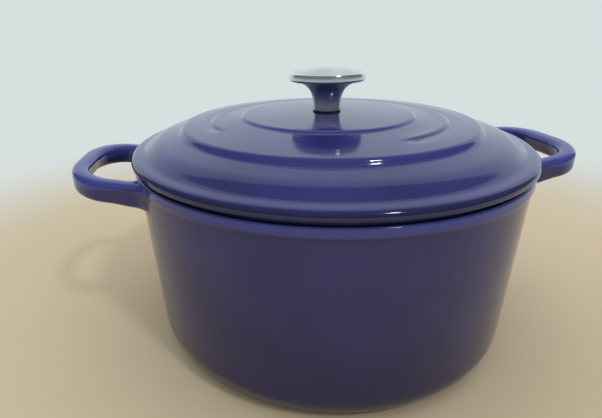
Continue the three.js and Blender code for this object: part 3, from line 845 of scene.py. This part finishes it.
# Knob gasket
# A thin black rubber washer that keeps the steel knob off the enamel.
# It is pressed between them by the screw, and shows as a dark line under the knob.
gasket_low, gasket_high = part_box("knob_gasket")
GASKET_EDGE_ROUND = 0.0003
RUBBER_BODY = (0.012, 0.012, 0.013, 1)
RUBBER_WORN = (0.03, 0.03, 0.031, 1)
RUBBER_ROUGHNESS = 0.5
RUBBER_GRAIN_ROUGHNESS = 0.2
RUBBER_GRAINS_PER_METRE = 2500
RUBBER_GRAIN_DEPTH = 0.0001
RUBBER_GRAIN_STRENGTH = 0.3
RUBBER_WEAR_PER_METRE = 300
RUBBER_WEAR_START = 0.45
RUBBER_WEAR_FULL = 0.7
SMALL_SEGMENTS = 96


def ring_outline(inner, outer, low, high, edge):
    """A ring's section: a rectangle with its corners bent round."""
    corners = np.array([(inner, low), (outer, low), (outer, high), (inner, high)])
    before = np.roll(corners, 1, axis=0) - corners
    after = np.roll(corners, -1, axis=0) - corners
    starts = corners + edge * before / np.linalg.norm(before, axis=1, keepdims=True)
    ends = corners + edge * after / np.linalg.norm(after, axis=1, keepdims=True)
    return chain(*[bent(*corner, steps=4) for corner in zip(starts, corners, ends)])


def rubber():
    """Matt rubber: a fine grain in its roughness and bump, and paler worn patches."""
    material, place = new_finish("black_rubber")
    grain = clouds(place, RUBBER_GRAINS_PER_METRE, 3)
    worn = clouds(place, RUBBER_WEAR_PER_METRE).rise(RUBBER_WEAR_START, RUBBER_WEAR_FULL)
    bumps = {"Height": grain, "Strength": RUBBER_GRAIN_STRENGTH, "Distance": RUBBER_GRAIN_DEPTH}
    skin = place.node("ShaderNodeBump", {}, bumps)
    surface(
        place,
        Base_Color=worn.blend(RUBBER_BODY, RUBBER_WORN),
        Roughness=RUBBER_ROUGHNESS + RUBBER_GRAIN_ROUGHNESS * grain,
        Normal=skin,
    )
    return material


outline = ring_outline(SCREW_HOLE_RADIUS, gasket_high.x, gasket_low.z, gasket_high.z, GASKET_EDGE_ROUND)
gasket = add_piece("rubber_gasket", *lathe(outline, SMALL_SEGMENTS, closed=True), rubber())
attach(gasket, "lid_body")
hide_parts("knob_gasket")


# Knob
# Turned from stainless bar: a neck that spreads into a thick rim, a slightly crowned top, and a blind
# threaded hole below. The top is brushed in circles, and the rim and neck are polished.
knob_low, knob_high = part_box("knob")
KNOB_RADIUS = knob_high.x
KNOB_BASE_Z = knob_low.z
KNOB_TOP_Z = knob_high.z
KNOB_BASE_RADIUS = 0.0095
KNOB_BASE_EDGE = 0.00015
KNOB_NECK_LEAN = 0.0001
KNOB_NECK_SPREAD = 0.0007
KNOB_NECK_LOW = 0.45
KNOB_NECK_HIGH = 0.9
KNOB_CROWN = 0.0027
KNOB_RIM_HEIGHT = 0.0059
KNOB_RIM_ROUND = 0.0022
KNOB_EDGE_ROUND = 0.0012
CROWN_FULLNESS = 0.6
TAPPED_HOLE_RADIUS = 0.00255
TAPPED_HOLE_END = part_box("knob_screw")[1].z
DRILL_POINT = 0.0015
KNOB_SEGMENTS = 160
STEEL_COLOUR = (0.74, 0.765, 0.775, 1)
STEEL_SHADE = (0.66, 0.68, 0.69, 1)
LATHE_MARKS_PER_METRE = 4000
LATHE_MARKS_ROUND = 1.5
LATHE_MARK_DEPTH = 0.00003
LATHE_MARK_STRENGTH = 0.2
POLISHED_SHARE = 0.7
STEEL_SMEARS_PER_METRE = 120
STEEL_ROUGHNESS = 0.18
STEEL_SMEAR_ROUGHNESS = 0.1
SATIN_ROUGHNESS = 0.1
SATIN_EDGE = 0.0004
LATHE_STRETCH = 0.8
ACROSS_THE_MARKS = 0.25


def knob_outline():
    """The blind hole from its point down to the base, up the neck, round the rim and over the crown."""
    rim_high = KNOB_TOP_Z - KNOB_CROWN
    rim_low = rim_high - KNOB_RIM_HEIGHT
    neck = rim_low - KNOB_BASE_Z
    edge_in = (KNOB_RADIUS - KNOB_EDGE_ROUND, rim_high)
    base = (KNOB_BASE_RADIUS, KNOB_BASE_Z)
    return chain(
        straight((0, TAPPED_HOLE_END + DRILL_POINT), (TAPPED_HOLE_RADIUS, TAPPED_HOLE_END), 2),
        straight((TAPPED_HOLE_RADIUS, TAPPED_HOLE_END), (TAPPED_HOLE_RADIUS, KNOB_BASE_Z), 6),
        straight((TAPPED_HOLE_RADIUS, KNOB_BASE_Z), (KNOB_BASE_RADIUS - KNOB_BASE_EDGE, KNOB_BASE_Z), 3),
        straight((KNOB_BASE_RADIUS - KNOB_BASE_EDGE, KNOB_BASE_Z), base, 1),
        bent(
            base,
            (KNOB_BASE_RADIUS + KNOB_NECK_LEAN, KNOB_BASE_Z + KNOB_NECK_LOW * neck),
            (KNOB_BASE_RADIUS + KNOB_NECK_SPREAD, KNOB_BASE_Z + KNOB_NECK_HIGH * neck),
            (KNOB_RADIUS - KNOB_RIM_ROUND, rim_low),
            steps=40,
        ),
        bent(
            (KNOB_RADIUS - KNOB_RIM_ROUND, rim_low),
            (KNOB_RADIUS, rim_low),
            (KNOB_RADIUS, rim_low + KNOB_RIM_ROUND),
        ),
        bent((KNOB_RADIUS, rim_low + KNOB_RIM_ROUND), (KNOB_RADIUS, rim_high), edge_in, steps=10),
        bent(edge_in, (KNOB_RADIUS * CROWN_FULLNESS, KNOB_TOP_Z), (0, KNOB_TOP_Z), steps=24),
    )


def turned_steel(name, satin_above=None):
    """Steel with fine lathe marks: noise that changes fast along the radius and height and slowly round the
    axis. The marks stretch what the steel mirrors into streaks across them. Above a height, where one is
    given, they are coarse enough to make the steel satin."""
    material, place = new_finish(name)
    radius, height = from_axis(place)
    outward = place.node("ShaderNodeVectorMath", {"operation": "NORMALIZE"}, {0: place})
    axes = place.node("ShaderNodeSeparateXYZ", {}, {"Vector": outward})
    groove_place = place.node("ShaderNodeCombineXYZ", {}, {
        "X": LATHE_MARKS_PER_METRE * radius,
        "Y": LATHE_MARKS_ROUND * axes["X"] + LATHE_MARKS_PER_METRE * height,
        "Z": LATHE_MARKS_ROUND * axes["Y"],
    })
    grooves = clouds(groove_place, 1, 3)
    satin = height.rise(satin_above, satin_above + SATIN_EDGE) if satin_above else 0
    smears = clouds(place, STEEL_SMEARS_PER_METRE, 3)
    marks = grooves * (POLISHED_SHARE + satin)
    bumps = {"Height": marks, "Strength": LATHE_MARK_STRENGTH, "Distance": LATHE_MARK_DEPTH}
    skin = place.node("ShaderNodeBump", {}, bumps)
    roughness = STEEL_ROUGHNESS + STEEL_SMEAR_ROUGHNESS * smears + SATIN_ROUGHNESS * satin * (1 + grooves)
    surface(
        place,
        Base_Color=(0.5 * (grooves + smears)).blend(STEEL_COLOUR, STEEL_SHADE),
        Metallic=1,
        Roughness=roughness,
        Anisotropic=LATHE_STRETCH,
        Anisotropic_Rotation=ACROSS_THE_MARKS,
        Normal=skin,
    )
    return material


knob_steel = turned_steel("stainless_knob", KNOB_TOP_Z - KNOB_CROWN)
knob = add_piece("steel_knob", *lathe(knob_outline(), KNOB_SEGMENTS), knob_steel)
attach(knob, "knob_body")
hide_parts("knob")


# Knob screw
# A steel pan-head machine screw with a straight slot and an M5 thread. It comes up through the lid into the
# knob, and its head hangs below the lid with its washers.
screw_low, screw_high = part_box("knob_screw")
lock_low, lock_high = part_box("lock_washer")
SCREW_RADIUS = 0.00245
THREAD_PITCH = 0.0008
THREAD_DEPTH = 0.0004
THREAD_PEAK = 1.15
THREAD_FLANK = 2.6
THREAD_STEPS = 250
SCREW_TIP_CHAMFER = 0.0006
SCREW_HEAD_RADIUS = screw_high.x
SCREW_HEAD_TOP = lock_low.z
SCREW_HEAD_EDGE = 0.001
SCREW_HEAD_FLAT = 0.55
SCREW_SLOT_WIDTH = 0.0012
SCREW_SLOT_DEPTH = 0.0015
SCREW_SEGMENTS = 48


def screw_surface():
    """A turned outline whose shank is cut back by a groove. The groove's depth is a clipped triangle wave
    of z / pitch - angle / turn, so it climbs one pitch in each turn, and it fades out at both ends."""
    flat = (SCREW_HEAD_RADIUS * SCREW_HEAD_FLAT, screw_low.z)
    head_edge = (SCREW_HEAD_RADIUS, SCREW_HEAD_TOP - SCREW_HEAD_EDGE)
    shank_end = screw_high.z - SCREW_TIP_CHAMFER
    outline = chain(
        straight((0, screw_low.z), flat, 3),
        bent(flat, (SCREW_HEAD_RADIUS, screw_low.z), head_edge),
        straight(head_edge, (SCREW_HEAD_RADIUS, SCREW_HEAD_TOP), 2),
        straight((SCREW_HEAD_RADIUS, SCREW_HEAD_TOP), (SCREW_RADIUS, SCREW_HEAD_TOP), 2),
        straight((SCREW_RADIUS, SCREW_HEAD_TOP), (SCREW_RADIUS, shank_end), THREAD_STEPS),
        straight((SCREW_RADIUS, shank_end), (SCREW_RADIUS - SCREW_TIP_CHAMFER, screw_high.z), 2),
        straight((SCREW_RADIUS - SCREW_TIP_CHAMFER, screw_high.z), (0, screw_high.z), 2),
    )
    radius, height = outline[:, :1], outline[:, 1:]
    turn = turn_angles(SCREW_SEGMENTS) / (2 * np.pi)
    phase = (height / THREAD_PITCH - turn) % 1
    groove = np.clip(THREAD_PEAK - THREAD_FLANK * np.abs(phase - 0.5), 0, 1)
    ends = np.minimum(height - SCREW_HEAD_TOP, shank_end - height) / THREAD_PITCH
    return turned(radius - THREAD_DEPTH * groove * np.clip(ends, 0, 1), height, SCREW_SEGMENTS)


def slot_cutter():
    """A bar across the head, as wide and as deep as the slot."""
    reach = 2 * SCREW_HEAD_RADIUS
    half = SCREW_SLOT_WIDTH / 2
    ends = np.array([-reach, reach])[:, None]
    y = np.array([-half, half, half, -half])
    z = screw_low.z + SCREW_SLOT_DEPTH * np.array([-1, -1, 1, 1])
    return swept(np.stack(np.broadcast_arrays(ends, y, z), axis=-1))


screw_steel = turned_steel("steel_screw")
screw = add_piece("threaded_screw", *screw_surface(), screw_steel)
combine(screw, add_piece("slot_cutter", *slot_cutter(), screw_steel), "DIFFERENCE")
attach(screw, "screw_body")
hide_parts("knob_screw")


# Flat washer
# A stamped steel washer against the lid's lining, which spreads the screw's pull over the enamel.
# It rides with the screw.
flat_low, flat_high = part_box("flat_washer")
WASHER_CLEARANCE = 0.0004
WASHER_BORE_RADIUS = SCREW_RADIUS + WASHER_CLEARANCE
WASHER_EDGE_ROUND = 0.00015

outline = ring_outline(WASHER_BORE_RADIUS, flat_high.x, flat_low.z, flat_high.z, WASHER_EDGE_ROUND)
flat_steel = turned_steel("steel_flat_washer")
flat_washer = add_piece("plain_washer", *lathe(outline, SMALL_SEGMENTS, closed=True), flat_steel)
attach(flat_washer, "screw_body")
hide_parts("flat_washer")


# Lock washer
# A split steel spring washer between the flat washer and the screw's head, pressed flat by the screw.
# It rides with the screw.
SPLIT_WIDTH = 0.001


def split_ring(outline, split, stops):
    """A section carried round the axis from one side of a split to the other, with both ends closed."""
    half_split = np.arcsin(split / 2 / outline[:, 0].min())
    angle = np.linspace(half_split, 2 * np.pi - half_split, stops)[:, None]
    radius, height = outline[:, 0], outline[:, 1]
    grid = np.stack(np.broadcast_arrays(radius * np.cos(angle), radius * np.sin(angle), height), axis=-1)
    return swept(grid)


outline = ring_outline(WASHER_BORE_RADIUS, -lock_low.x, lock_low.z, lock_high.z, WASHER_EDGE_ROUND)
spring_steel = turned_steel("steel_lock_washer")
lock_washer = add_piece("spring_washer", *split_ring(outline, SPLIT_WIDTH, SMALL_SEGMENTS), spring_steel)
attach(lock_washer, "screw_body")
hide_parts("lock_washer")
